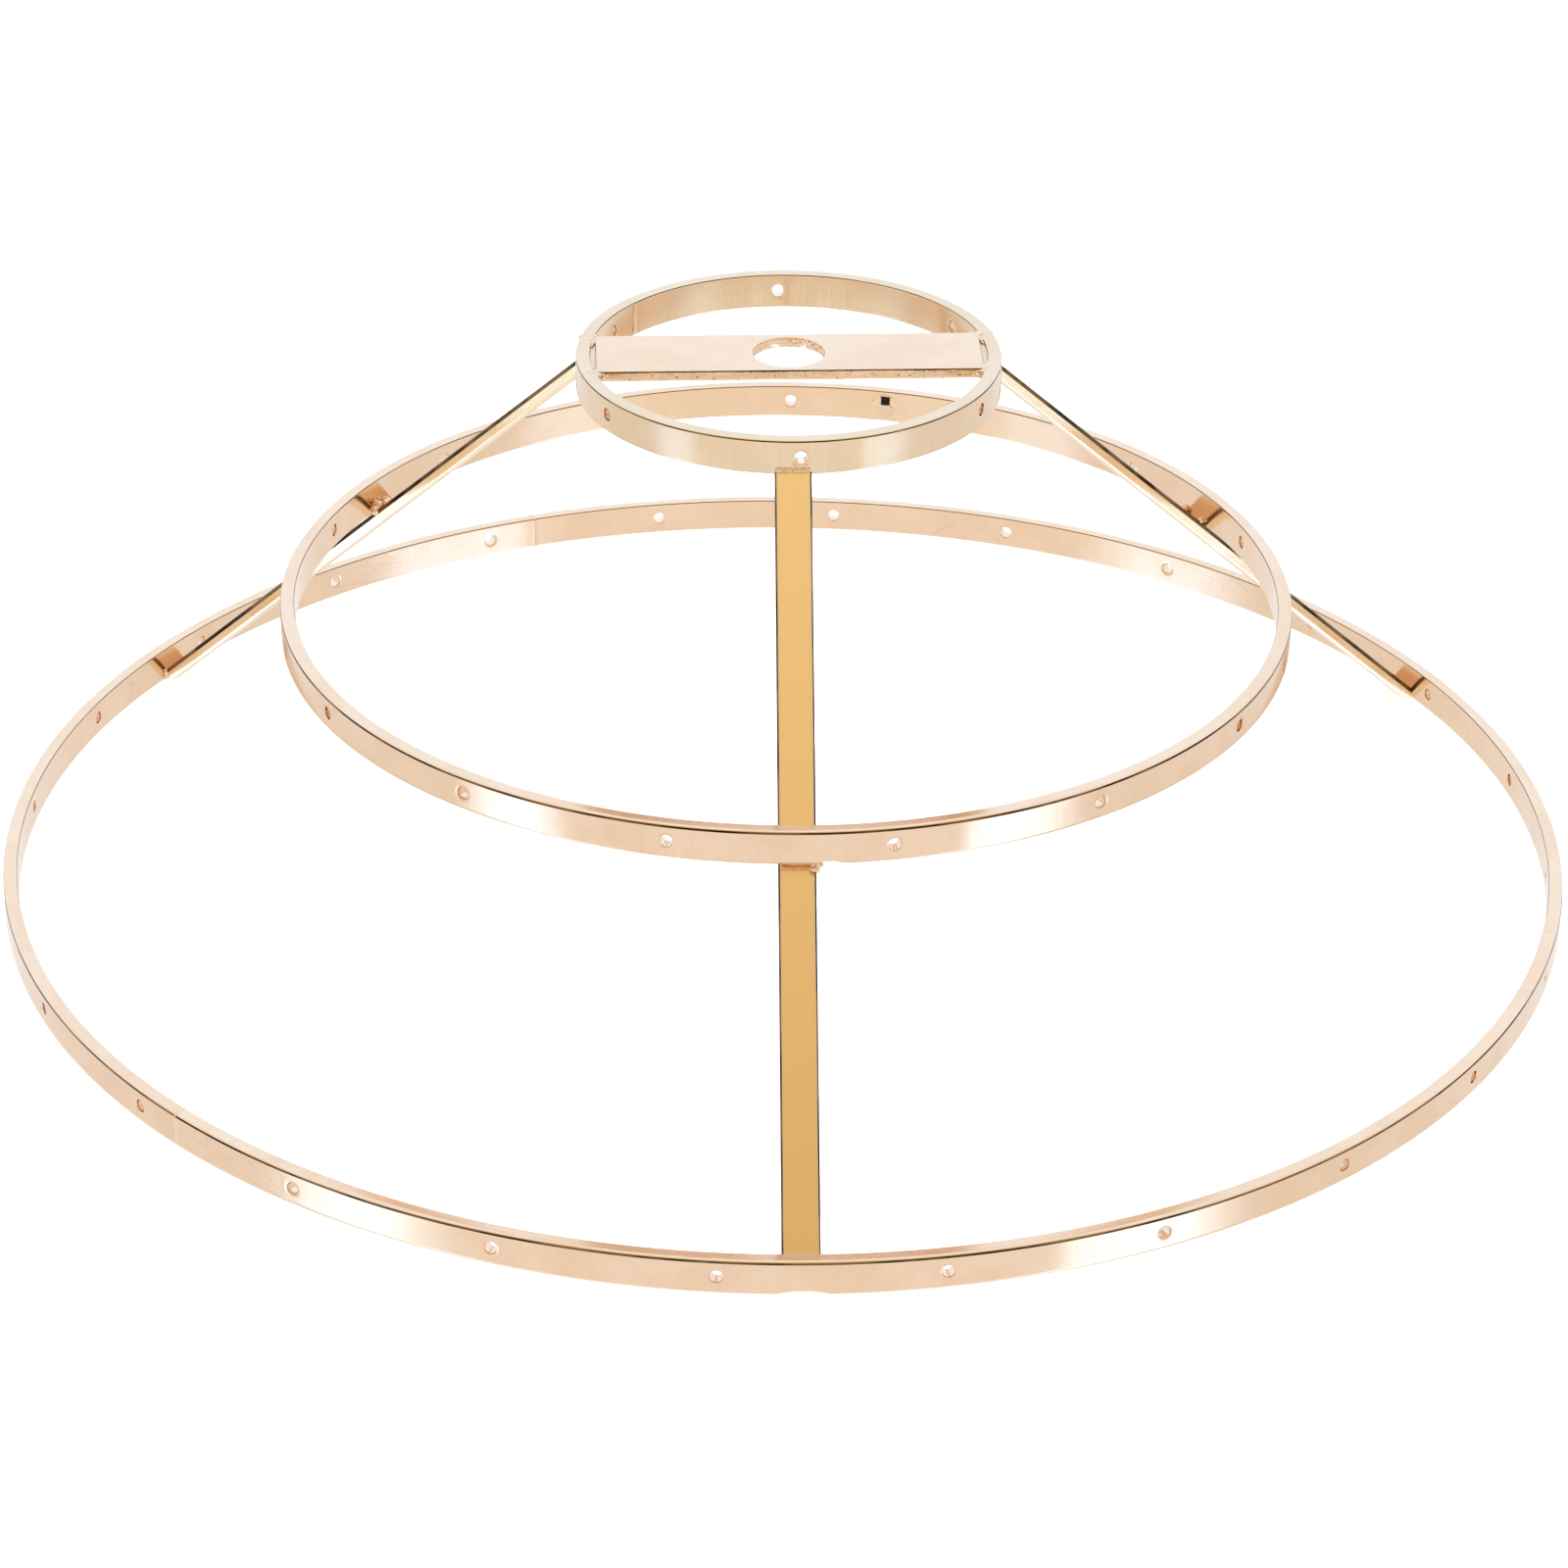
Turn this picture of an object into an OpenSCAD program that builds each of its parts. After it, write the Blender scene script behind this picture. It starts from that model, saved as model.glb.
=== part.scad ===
// Tiered ring frame: three flat-bar rings, smaller towards the top, carried by three
// sloping flat-bar arms, with a drilled strap across the top ring.
// The origin is the centre of the bottom ring's lower edge, and +Z points up.
// Angles turn anticlockwise from +X, seen from above, and the front is towards -Y.

/* [Rings] */
// Outside diameter of the bottom ring
bottom_ring_d = 225; // [180:1:290]
// Outside diameter of the middle ring
middle_ring_d = 143; // [110:1:175]
// Outside diameter of the top ring
top_ring_d = 59; // [45:1:80]
// Height from the bottom ring's lower edge to the top ring's upper edge
frame_h = 80; // [60:1:110]

/* [Flat bar] */
// Width of the bar, which is the height of each ring
bar_w = 5; // [4:0.1:7]
// Thickness of the bar
bar_t = 2; // [1.5:0.1:3]
// Chamfer along the bar's edges
bar_edge = 0.2; // [0.1:0.05:0.4]
// Gap left where one bar lies against another
bar_gap = 0.05; // [0.02:0.01:0.1]

/* [Butt joints] */
// Width of the joint between two bar ends, which its weld fills
seam_w = 0.4; // [0.2:0.1:1]
// Direction of the bottom ring's front joint
seam_front_a = 225; // [180:1:260]
// Direction of the bottom ring's back joint
seam_back_a = 112; // [60:1:140]
// Direction of the middle ring's joint
seam_middle_a = 77.7; // [40:0.1:130]
// Direction of the top ring's joint
seam_top_a = 143; // [100:1:144]
// Least wall between a joint and a hanging hole
seam_land = 2; // [1:0.5:4]

/* [Hanging holes] */
// Diameter of the hanging holes
hole_d = 1.8; // [1:0.1:2.2]
// Number of holes in the bottom ring
bottom_holes = 24; // [6:1:36]
// Number of holes in the middle ring
middle_holes = 15; // [5:1:24]
// Number of holes in the top ring
top_holes = 6; // [3:1:10]
// Direction of the bottom ring's first hole
bottom_hole_a = 11; // [0:0.5:15]
// Direction of the middle ring's first hole
middle_hole_a = 17.7; // [0:0.1:24]
// Direction of the top ring's first hole
top_hole_a = 33.5; // [0:0.5:60]

/* [Arms] */
// Direction of the front arm
arm_front_a = 271.5; // [255:0.5:285]
// Direction of the back right arm
arm_right_a = 29.5; // [20:0.5:45]
// Direction of the back left arm
arm_left_a = 149.5; // [148:0.5:160]
// Height of an arm's upper face where it meets the bottom ring
arm_foot_h = 1.5; // [1:0.1:2.5]
// Height of an arm's upper face over the top ring's lower edge where they meet
arm_lap = 0.6; // [0.4:0.1:1]

/* [Strap] */
// Width of the strap
strap_w = 12.5; // [11.5:0.5:18]
// Thickness of the strap
strap_t = 1.5; // [1:0.1:3]
// Direction of the strap's length
strap_a = 3; // [-6:0.5:6]
// Diameter of the hole for a threaded lamp tube
nipple_d = 10; // [7:0.1:10.5]

/* [Welds] */
// Radius of the bead that joins an arm to the top ring's wall
top_bead_r = 0.6; // [0.4:0.1:0.7]
// Radius of the bead that fills the wedge between an arm and the middle ring
middle_bead_r = 0.9; // [0.7:0.1:1]
// Radius of the blob at the end of that bead
blob_r = 1.2; // [1:0.1:1.4]
// Radius of the bead beside an arm's foot
foot_bead_r = 0.7; // [0.5:0.1:1]
// Radius of the weld at each corner of the strap
corner_bead_r = 1.3; // [1:0.1:1.6]

/* [Hidden] */
ARMS = [["front", arm_front_a], ["right", arm_right_a], ["left", arm_left_a]];
CORNERS = [
  ["back_right", 1, 1], ["back_left", -1, 1],
  ["front_left", -1, -1], ["front_right", 1, -1]
];

$fn = 180;
small_fn = 48;
weld_fn = 120;
wall_fn = 720;
// Cutting shapes run this far past what they cut
over = 1;

// Each arm's upper face is a straight slope from the top ring's wall to the bottom ring's
top_z = frame_h - bar_w;
arm_head_r = top_ring_d / 2;
arm_head_z = top_z + arm_lap;
arm_foot_r = bottom_ring_d / 2 - bar_t;
arm_fall = (arm_head_z - arm_foot_h) / (arm_foot_r - arm_head_r);
arm_slope = atan(arm_fall);
arm_l = (arm_foot_r - arm_head_r) / cos(arm_slope);

// The middle ring rests its lower inner corner on the arms
middle_inner_r = middle_ring_d / 2 - bar_t;
middle_rest_r = sqrt(pow(middle_inner_r + bar_edge, 2) - pow(bar_w / 2, 2));
middle_z = arm_z(middle_rest_r) + bar_gap;

// The strap's square ends reach the top ring's wall at their corners
top_inner_r = top_ring_d / 2 - bar_t;
strap_l = 2 * (sqrt(pow(top_inner_r, 2) - pow(strap_w / 2, 2)) - bar_gap);

// Height of the arms' upper face at a distance from the axis
function arm_z(r) = arm_head_z - (r - arm_head_r) * arm_fall;

// Angle that a joint takes up round a ring
function seam_sweep(d) = seam_w / (d / 2) * 180 / PI;

// The wanted direction, moved only if a joint there would run into a hole
function clear_of_holes(a, d, holes, first) =
  let (
    pitch = 360 / holes,
    low = first + floor((a - first) / pitch) * pitch,
    land = (hole_d / 2 + seam_land) / (d / 2) * 180 / PI,
    margin = min(land, pitch / 2)
  )
  max(low + margin, min(a, low + pitch - margin));

front_seam = clear_of_holes(seam_front_a, bottom_ring_d, bottom_holes, bottom_hole_a);
back_seam = clear_of_holes(seam_back_a, bottom_ring_d, bottom_holes, bottom_hole_a);
middle_seam = clear_of_holes(seam_middle_a, middle_ring_d, middle_holes, middle_hole_a);
top_seam = clear_of_holes(seam_top_a, top_ring_d, top_holes, top_hole_a);

// Cross-section of the flat bar, thickness along X and width along Y, from its corner
module bar_section() {
  polygon([
    [bar_edge, 0], [bar_t - bar_edge, 0], [bar_t, bar_edge], [bar_t, bar_w - bar_edge],
    [bar_t - bar_edge, bar_w], [bar_edge, bar_w], [0, bar_w - bar_edge], [0, bar_edge]
  ]);
}

// Bar bent on edge round the axis, from one direction through a sweep
module bent_bar(d, z, from, sweep) {
  translate([0, 0, z])
    rotate([0, 0, from])
      rotate_extrude(angle = sweep)
        translate([d / 2 - bar_t, 0])
          bar_section();
}

// Weld that fills the joint centred on a direction
module seam(d, z, a) {
  color("burlywood")
    bent_bar(d, z, a - seam_sweep(d) / 2, seam_sweep(d));
}

// Bar bent from just past one joint to just short of another
module bar_between(d, z, a0, a1) {
  gap = seam_sweep(d);
  bent_bar(d, z, a0 + gap / 2, a1 - a0 - gap);
}

// Radial drillings at mid-height of a ring
module hanging_holes(d, z, holes, first) {
  for (i = [0 : holes - 1])
    rotate([0, 0, first + i * 360 / holes])
      translate([d / 2 - bar_t - over, 0, z + bar_w / 2])
        rotate([0, 90, 0])
          cylinder(d = hole_d, h = bar_t + 2 * over, $fn = small_fn);
}

module bottom_ring_part(a0, a1) {
  color("tan")
    difference() {
      bar_between(bottom_ring_d, 0, a0, a1);
      hanging_holes(bottom_ring_d, 0, bottom_holes, bottom_hole_a);
    }
}

module bottom_ring_long() {
  bottom_ring_part(front_seam, back_seam + 360);
}

module bottom_ring_short() {
  bottom_ring_part(back_seam, front_seam);
}

module middle_ring() {
  color("tan")
    difference() {
      bar_between(middle_ring_d, middle_z, middle_seam, middle_seam + 360);
      hanging_holes(middle_ring_d, middle_z, middle_holes, middle_hole_a);
    }
}

module top_ring() {
  color("tan")
    difference() {
      bar_between(top_ring_d, top_z, top_seam, top_seam + 360);
      hanging_holes(top_ring_d, top_z, top_holes, top_hole_a);
    }
}

// Drilled plate across the top ring, its upper face level with the ring's edge
module cross_strap() {
  color("wheat")
    rotate([0, 0, strap_a])
      difference() {
        translate([-strap_l / 2, -strap_w / 2, frame_h - strap_t])
          cube([strap_l, strap_w, strap_t]);
        translate([0, 0, frame_h - strap_t - over])
          cylinder(d = nipple_d, h = strap_t + 2 * over);
      }
}

// Straight bar down the arms' slope in the XZ plane, longer than the arm at both ends
module sloping_bar() {
  translate([arm_head_r, 0, arm_head_z])
    rotate([0, 90 + arm_slope, 0])
      translate([0, -bar_w / 2, -arm_l])
        linear_extrude(3 * arm_l)
          bar_section();
}

// Arm coped to the two rings' walls, its foot level with the bottom ring's lower edge
module arm(a) {
  color("goldenrod")
    rotate([0, 0, a])
      arm_along_x();
}

module arm_along_x() {
  intersection() {
    sloping_bar();
    difference() {
      cylinder(r = arm_foot_r, h = frame_h);
      translate([0, 0, -over])
        cylinder(r = arm_head_r, h = frame_h + 2 * over);
    }
    translate([0, -bar_w, 0])
      cube([arm_foot_r + over, 2 * bar_w, frame_h]);
  }
}

// Round bead across an arm, at a distance from the axis and a height
module cross_bead(r, z, bead_r) {
  translate([r, 0, z])
    rotate([90, 0, 0])
      cylinder(r = bead_r, h = bar_w - 2 * bar_edge, center = true, $fn = weld_fn);
}

// Whole bent bar, which the welds are cut back to
module uncut_ring(d, z) {
  bent_bar(d, z, 0, 360);
}

// Bead in the corner between the top ring's wall and an arm's upper face
module top_weld(a) {
  color("burlywood")
    rotate([0, 0, a])
      difference() {
        cross_bead(arm_head_r, arm_head_z, top_bead_r);
        uncut_ring(top_ring_d, top_z);
        sloping_bar();
      }
}

// Bead in the wedge between the middle ring and an arm, with a blob at one end
module middle_weld(a) {
  r = middle_ring_d / 2 - bar_t / 2;
  color("burlywood")
    rotate([0, 0, a])
      difference() {
        union() {
          cross_bead(r, middle_z, middle_bead_r);
          translate([r, bar_w / 2, middle_z])
            rotate([90, 0, 0])
              cylinder(r = blob_r, h = blob_r, center = true, $fn = weld_fn);
        }
        sloping_bar();
        translate([0, -bar_w, middle_z])
          cube([middle_ring_d, 2 * bar_w, bar_w]);
      }
}

// Bead in the corner between an arm's side and the bottom ring's inner wall
module foot_weld(a) {
  color("burlywood")
    rotate([0, 0, a])
      intersection() {
        translate([arm_foot_r, bar_w / 2, 0])
          cylinder(r = foot_bead_r, h = arm_foot_h, $fn = weld_fn);
        cylinder(r = arm_foot_r, h = bar_w, $fn = wall_fn);
        translate([0, bar_w / 2, 0])
          cube([bottom_ring_d, bar_w, bar_w]);
      }
}

// Weld between a corner of the strap and the top ring's wall, level with their tops
module strap_weld(x_side, y_side) {
  color("burlywood")
    rotate([0, 0, strap_a])
      difference() {
        intersection() {
          translate([x_side * strap_l / 2, y_side * strap_w / 2, frame_h - strap_t / 2])
            sphere(r = corner_bead_r, $fn = weld_fn);
          translate([0, 0, frame_h - strap_t])
            cylinder(r = top_inner_r, h = strap_t);
        }
        translate([-strap_l / 2, -strap_w / 2, frame_h - strap_t - over])
          cube([strap_l, strap_w, strap_t + 2 * over]);
      }
}

bottom_ring_long();
bottom_ring_short();
middle_ring();
top_ring();
cross_strap();
seam(bottom_ring_d, 0, front_seam);  // bottom_front_seam
seam(bottom_ring_d, 0, back_seam);  // bottom_back_seam
seam(middle_ring_d, middle_z, middle_seam);
seam(top_ring_d, top_z, top_seam);
for (side = ARMS) {
  arm(side[1]);
  top_weld(side[1]);
  middle_weld(side[1]);
  foot_weld(side[1]);
}
for (corner = CORNERS)
  strap_weld(corner[1], corner[2]);
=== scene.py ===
import math

import bmesh
import bpy
from mathutils import Matrix, Vector, noise


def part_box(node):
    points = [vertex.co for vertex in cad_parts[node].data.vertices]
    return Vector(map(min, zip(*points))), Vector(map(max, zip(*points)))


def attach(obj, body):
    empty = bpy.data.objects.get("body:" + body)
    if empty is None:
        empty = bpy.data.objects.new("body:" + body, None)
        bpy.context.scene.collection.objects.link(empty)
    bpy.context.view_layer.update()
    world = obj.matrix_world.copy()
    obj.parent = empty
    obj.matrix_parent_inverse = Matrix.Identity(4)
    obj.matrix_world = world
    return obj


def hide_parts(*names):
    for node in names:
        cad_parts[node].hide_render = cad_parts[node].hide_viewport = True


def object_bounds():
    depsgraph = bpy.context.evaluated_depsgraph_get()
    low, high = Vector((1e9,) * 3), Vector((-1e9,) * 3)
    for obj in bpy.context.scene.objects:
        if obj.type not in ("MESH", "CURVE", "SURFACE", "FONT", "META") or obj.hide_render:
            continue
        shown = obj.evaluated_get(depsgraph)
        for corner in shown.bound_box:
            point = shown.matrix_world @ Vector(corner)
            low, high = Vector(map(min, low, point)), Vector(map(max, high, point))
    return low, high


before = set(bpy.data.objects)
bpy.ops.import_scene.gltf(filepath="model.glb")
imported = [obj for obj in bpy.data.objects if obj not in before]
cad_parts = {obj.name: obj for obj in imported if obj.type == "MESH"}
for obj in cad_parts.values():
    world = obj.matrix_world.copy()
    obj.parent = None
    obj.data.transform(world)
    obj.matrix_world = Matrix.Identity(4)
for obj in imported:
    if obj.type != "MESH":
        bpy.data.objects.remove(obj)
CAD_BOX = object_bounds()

bl_info = {
    "name": "Tiered Ring Frame",
    "version": (1, 0, 0),
    "blender": (4, 5, 0),
    "location": "View3D > Sidebar > Ring Frame",
    "description": "Rolls, welds and plates a three-tier ring frame around its CAD parts",
    "category": "Object",
}

MM = 0.001
BODY = "root"
# Lengths nearer than this are taken as equal
NEAR = 1e-9
# Half the side of the square around each hole that is meshed with it
WINDOW = 1.6 * MM
# How far the rings' cut ends are eased
CUT_EASE = 0.05 * MM
# Rounding of the arms' edges, how far their heads lap the top ring, and the height of their feet
ARM_EDGE = 0.42 * MM
ARM_LAP = 0.6 * MM
ARM_FOOT = 1.5 * MM
STRAP_WIDTH = 12.5 * MM
STRAP_THICKNESS = 1.5 * MM
# Finishes on an arm or the strap, in the order of their material slots; an arm's sides are painted paler as a
# highlight, and the last slot is a painted dark reflection line
WIDE, SIDE, PAINTED_LINE = 0, 1, 2

# Directions are in degrees, anticlockwise from +X seen from above, with the front towards -Y
ARM_DIRECTIONS = {"front": 271.5, "right": 29.5, "left": 149.5}
STRAP_DIRECTION = 3.0
# Bar: its ring, the joints it runs between, its first hanging hole, its number of holes
BARS = {
    "bottom_ring_long": ("bottom", 225.0, 472.0, 236.0, 16),
    "bottom_ring_short": ("bottom", 112.0, 225.0, 116.0, 8),
    "middle_ring": ("middle", 77.7, 437.7, 89.7, 15),
    "top_ring": ("top", 143.0, 503.0, 153.5, 6),
}
HOLE_PITCH = {"bottom": 15.0, "middle": 24.0, "top": 60.0}
# Joint: its ring and direction
JOINTS = {
    "bottom_front_seam": ("bottom", 225.0),
    "bottom_back_seam": ("bottom", 112.0),
    "middle_seam": ("middle", 77.7),
    "top_seam": ("top", 143.0),
}
# Hollow ground in a ring's lower edge: direction, width and height in millimetres
HOLLOWS = {
    "bottom_ring_long": (271.6, 2.6, 0.5),
    "middle_ring": (274.9, 1.5, 0.4),
}
# Extra lumps on the middle welds, in millimetres: outwards, across, up and radius
MIDDLE_LUMPS = {
    "front": (),
    "right": ((-1.2, 2.3, 0.7, 0.55), (-1.3, -2.2, 0.7, 0.5)),
    "left": ((-1.2, 1.6, 0.9, 0.75), (-1.7, 0.6, 1.1, 0.6), (-1.3, -0.5, 0.9, 0.6),
             (-1.1, 2.5, 0.3, 0.7), (-2.2, 1.4, 1.5, 0.45)),
}
# Two dribbles that meet below the hanging hole over the front arm: their direction, then across and up
DRIBBLE_DIRECTION = 273.5
DRIBBLES = ((-0.95, 1.0), (-0.7, 0.72), (-0.45, 0.48), (-0.25, 0.25),
            (0.75, 0.95), (0.5, 0.65), (0.25, 0.35))
# At each strap corner a shallow pool joins the strap's face to the ring's, then lumps in the corner
# and out at the rim, in millimetres: along the strap, across it, up, radius and how flat
CORNER_LUMPS = (
    (0.2, -0.9, -0.34, 1.5, 0.3), (0.6, 0.0, -0.32, 1.25, 0.32), (1.0, -0.8, -0.26, 0.9, 0.32),
    (-0.2, 0.25, -0.75, 0.55, 1.0), (-1.0, 0.3, -0.5, 0.42, 1.0), (-1.6, 0.15, -0.75, 0.4, 1.0),
    (-0.6, 0.5, -1.0, 0.4, 1.0), (0.4, 0.8, -0.65, 0.45, 1.0), (0.3, -2.3, -0.4, 0.42, 1.0),
    (0.5, -2.9, -0.5, 0.36, 1.0), (1.85, 0.25, -0.36, 0.34, 1.0), (1.8, -0.35, -0.4, 0.3, 1.0),
)


def ring_box(ring):
    """The low and high corners of a ring's CAD bar."""
    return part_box({"bottom": "bottom_ring_long", "middle": "middle_ring", "top": "top_ring"}[ring])


def outside_diameter(ring):
    return round(2 * ring_box(ring)[1].x, 4)


def ring_radius(sizes, ring):
    return {"bottom": sizes.bottom_d, "middle": sizes.middle_d, "top": sizes.top_d}[ring] / 2


def lower_edge(ring):
    return ring_box(ring)[0].z


def outer_edge(sizes, ring):
    """The top ring's bar has crisper edges than the others."""
    return sizes.inner_edge * 1.5 if ring == "top" else sizes.outer_edge


def linear(hex_colour):
    """An sRGB hex colour as linear RGBA."""
    parts = [int(hex_colour[i:i + 2], 16) / 255 for i in (1, 3, 5)]
    light = [c / 12.92 if c <= 0.04045 else ((c + 0.055) / 1.055) ** 2.4 for c in parts]
    return (*light, 1.0)


def size_setting(name, description, default):
    return bpy.props.FloatProperty(name=name, description=description, default=default, unit="LENGTH")


def colour_setting(name, description, default):
    return bpy.props.FloatVectorProperty(
        name=name, description=description, subtype="COLOR", size=4, default=linear(default), min=0, max=1)


class RingFrameSizes(bpy.types.PropertyGroup):
    bottom_d: size_setting("Bottom Ring", "Outside diameter of the bottom ring", outside_diameter("bottom"))
    middle_d: size_setting("Middle Ring", "Outside diameter of the middle ring", outside_diameter("middle"))
    top_d: size_setting("Top Ring", "Outside diameter of the top ring", outside_diameter("top"))
    bar_width: size_setting("Bar Width", "Width of the flat bar", 5 * MM)
    bar_thickness: size_setting("Bar Thickness", "Thickness of the flat bar", 2 * MM)
    outer_edge: size_setting("Outer Edge", "Rounding along the outer edges of the two lower rings", 0.46 * MM)
    inner_edge: size_setting("Inner Edge", "Rounding along the inner edges of the rings", 0.2 * MM)
    hole_d: size_setting("Hanging Hole", "Diameter of the hanging holes", 1.8 * MM)
    joint_width: size_setting("Butt Joint", "Width of the joint left showing between two bar ends", 0.12 * MM)
    nipple_d: size_setting("Lamp Tube Hole", "Diameter of the hole in the strap", 10 * MM)


class RingFrameColours(bpy.types.PropertyGroup):
    champagne: colour_setting("Champagne Plating", "Colour of the plating on the rings", "#EED0B4")
    champagne_deep: colour_setting("Deep Champagne", "Deeper patches of the plating on the rings", "#EACAAB")
    satin_gold: colour_setting("Satin Gold", "Colour of the plating on the arms", "#EECDA8")
    floor: colour_setting("Floor", "Colour of the studio floor", "#F6F6F5")


# ---------------------------------------------------------------- nodes


def add(tree, kind, inputs=None, **settings):
    """Adds a node with its settings, and sets or links its inputs by name or number."""
    node = tree.nodes.new(kind)
    for key, value in settings.items():
        setattr(node, key, value)
    for key, value in (inputs or {}).items():
        if isinstance(value, bpy.types.Node):
            value = value.outputs[0]
        if isinstance(value, bpy.types.NodeSocket):
            tree.links.new(value, node.inputs[key])
        else:
            node.inputs[key].default_value = value
    return node


def fill_ramp(node, stops):
    """Gives a colour ramp its stops, as (place, colour)."""
    elements = node.color_ramp.elements
    while len(elements) > 1:
        elements.remove(elements[-1])
    elements[0].position, elements[0].color = stops[0]
    for place, colour in stops[1:]:
        elements.new(place).color = colour
    return node


def dimmed(colour, share):
    """The colour with only a share of its brightness."""
    return tuple(c * share for c in colour[:3]) + (1.0,)


# ---------------------------------------------------------------- finishes


def plated_steel(name, tone, deep, grain, roughness, dents=0.0, pits=0.0, scratches=0.0, brush=0.0):
    """Electroplated steel, its marks sized by grain in mm: along, through and across the bar."""
    material = bpy.data.materials.get(name)
    if material:
        return material
    material = bpy.data.materials.new(name)
    material.use_nodes = True
    tree = material.node_tree
    tree.nodes.clear()
    place = add(tree, "ShaderNodeAttribute", attribute_name="bar_place").outputs["Vector"]
    # Patches of slightly deeper plating, about 9 mm across
    patches = add(tree, "ShaderNodeTexNoise", {
        "Vector": place, "Scale": 110.0, "Detail": 3.0, "Roughness": 0.6})
    colour = add(tree, "ShaderNodeMix", {
        0: add(tree, "ShaderNodeMapRange", {0: patches, 1: 0.38, 2: 0.62}, interpolation_type="SMOOTHSTEP"),
        6: tone, 7: deep}, data_type="RGBA").outputs[2]
    # Marks of the finish, stretched by the size of the grain
    stretched = add(tree, "ShaderNodeMapping", {
        "Vector": place, "Scale": tuple(1 / (g * MM) for g in grain)}, vector_type="POINT")
    marks = add(tree, "ShaderNodeTexNoise", {
        "Vector": stretched, "Scale": 1.0, "Detail": 2.0, "Roughness": 0.55})
    colour = add(tree, "ShaderNodeMix", {
        0: add(tree, "ShaderNodeMath", {
            0: add(tree, "ShaderNodeMapRange", {0: marks, 1: 0.35, 2: 0.75}), 1: brush},
            operation="MULTIPLY"),
        6: colour, 7: dimmed(deep, 0.72)}, data_type="RGBA").outputs[2]
    height = add(tree, "ShaderNodeMath", {0: marks, 1: 0.12}, operation="MULTIPLY").outputs[0]
    if scratches:
        # Handling scratches running two ways, 0.1 mm wide so that they show
        lines = None
        for turn, shift in ((0.16, 3.0), (-0.42, 7.0)):
            drawn = add(tree, "ShaderNodeMapping", {
                "Vector": add(tree, "ShaderNodeMapping", {
                    "Vector": place, "Rotation": (0.0, turn, 0.0), "Location": (shift, 0.0, shift)}),
                "Scale": (20.0, 0.0, 200.0)})
            cells = add(tree, "ShaderNodeTexVoronoi", {
                "Vector": drawn, "Scale": 1.0}, feature="DISTANCE_TO_EDGE")
            cut = add(tree, "ShaderNodeMapRange", {0: cells, 1: 0.011, 2: 0.003})
            if lines is not None:
                cut = add(tree, "ShaderNodeMath", {0: lines, 1: cut}, operation="MAXIMUM")
            lines = cut
        worn = add(tree, "ShaderNodeTexNoise", {"Vector": place, "Scale": 38.0, "Detail": 1.0})
        lines = add(tree, "ShaderNodeMath", {
            0: lines,
            1: add(tree, "ShaderNodeMapRange", {0: worn, 1: 0.50, 2: 0.62})}, operation="MULTIPLY")
        lines = add(tree, "ShaderNodeMath", {0: lines, 1: scratches}, operation="MULTIPLY")
        height = add(tree, "ShaderNodeMath", {0: height, 1: lines}, operation="SUBTRACT").outputs[0]
        colour = add(tree, "ShaderNodeMix", {
            0: add(tree, "ShaderNodeMath", {0: lines, 1: 0.3}, operation="MULTIPLY"),
            6: colour, 7: dimmed(deep, 0.55)}, data_type="RGBA").outputs[2]
    if pits:
        # Pinholes down to the dark steel
        spots = add(tree, "ShaderNodeTexNoise", {"Vector": place, "Scale": 2600.0, "Detail": 1.0})
        holes = add(tree, "ShaderNodeMath", {
            0: add(tree, "ShaderNodeMapRange", {0: spots, 1: 0.62, 2: 0.72}), 1: pits},
            operation="MULTIPLY")
        height = add(tree, "ShaderNodeMath", {0: height, 1: holes}, operation="SUBTRACT").outputs[0]
        colour = add(tree, "ShaderNodeMix", {
            0: holes, 6: colour, 7: linear("#4A3220")}, data_type="RGBA").outputs[2]
    shader = add(tree, "ShaderNodeBsdfPrincipled", {
        "Base Color": colour,
        "Metallic": 1.0,
        "Roughness": add(tree, "ShaderNodeMapRange", {
            0: marks, 1: 0.3, 2: 0.7, 3: roughness * 0.8, 4: roughness * 1.25}),
        "Normal": add(tree, "ShaderNodeBump", {
            "Strength": 0.35 + dents, "Distance": 0.02 * MM, "Height": height}),
    })
    add(tree, "ShaderNodeOutputMaterial", {"Surface": shader})
    return material


def rolled_plating(colours):
    # Champagne plating over cold-rolled bar: bright and almost mirror-like, with faint upright lines
    return plated_steel("rolled_champagne_plating", colours.champagne, colours.champagne_deep,
                        (0.35, 0.35, 4.0), 0.13, brush=0.08)


def scratched_plating(colours):
    # The same plating on the ring that the frame slides about on, with handling scratches
    return plated_steel("scratched_champagne_plating", colours.champagne, colours.champagne_deep,
                        (0.35, 0.35, 4.0), 0.13, scratches=0.45, brush=0.06)


def brushed_plating():
    # Champagne plating over bar brushed across its width: a satin sheen with fine upright lines
    darker = linear("#E8CFB3")
    deeper = linear("#E4CAAA")
    return plated_steel("brushed_champagne_plating", darker, deeper, (0.22, 0.22, 6.0), 0.15, brush=0.16)


def satin_plating(colours):
    # Gold plating over bead-blasted bar: an even satin face with a very fine grain
    return plated_steel("satin_gold_plating", colours.satin_gold, colours.satin_gold,
                        (0.25, 0.25, 0.25), 0.2, brush=0.12)


def sheared_plating(colours):
    # Champagne plating over a sheared edge: torn, pitted and speckled
    return plated_steel("sheared_champagne_plating", colours.champagne, colours.satin_gold,
                        (0.25, 0.2, 0.1), 0.2, dents=0.45, pits=0.75, brush=0.15)


def painted_side_highlight():
    # Champagne plating over the bar's narrow rolled edge: painted paler as a highlight, with a few fine
    # specks
    return plated_steel("painted_highlight_side_plating", linear("#FBEBD0"), linear("#F5DFBA"),
                        (1.2, 0.2, 0.2), 0.15, dents=0.1, pits=0.12, brush=0.12)


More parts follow.
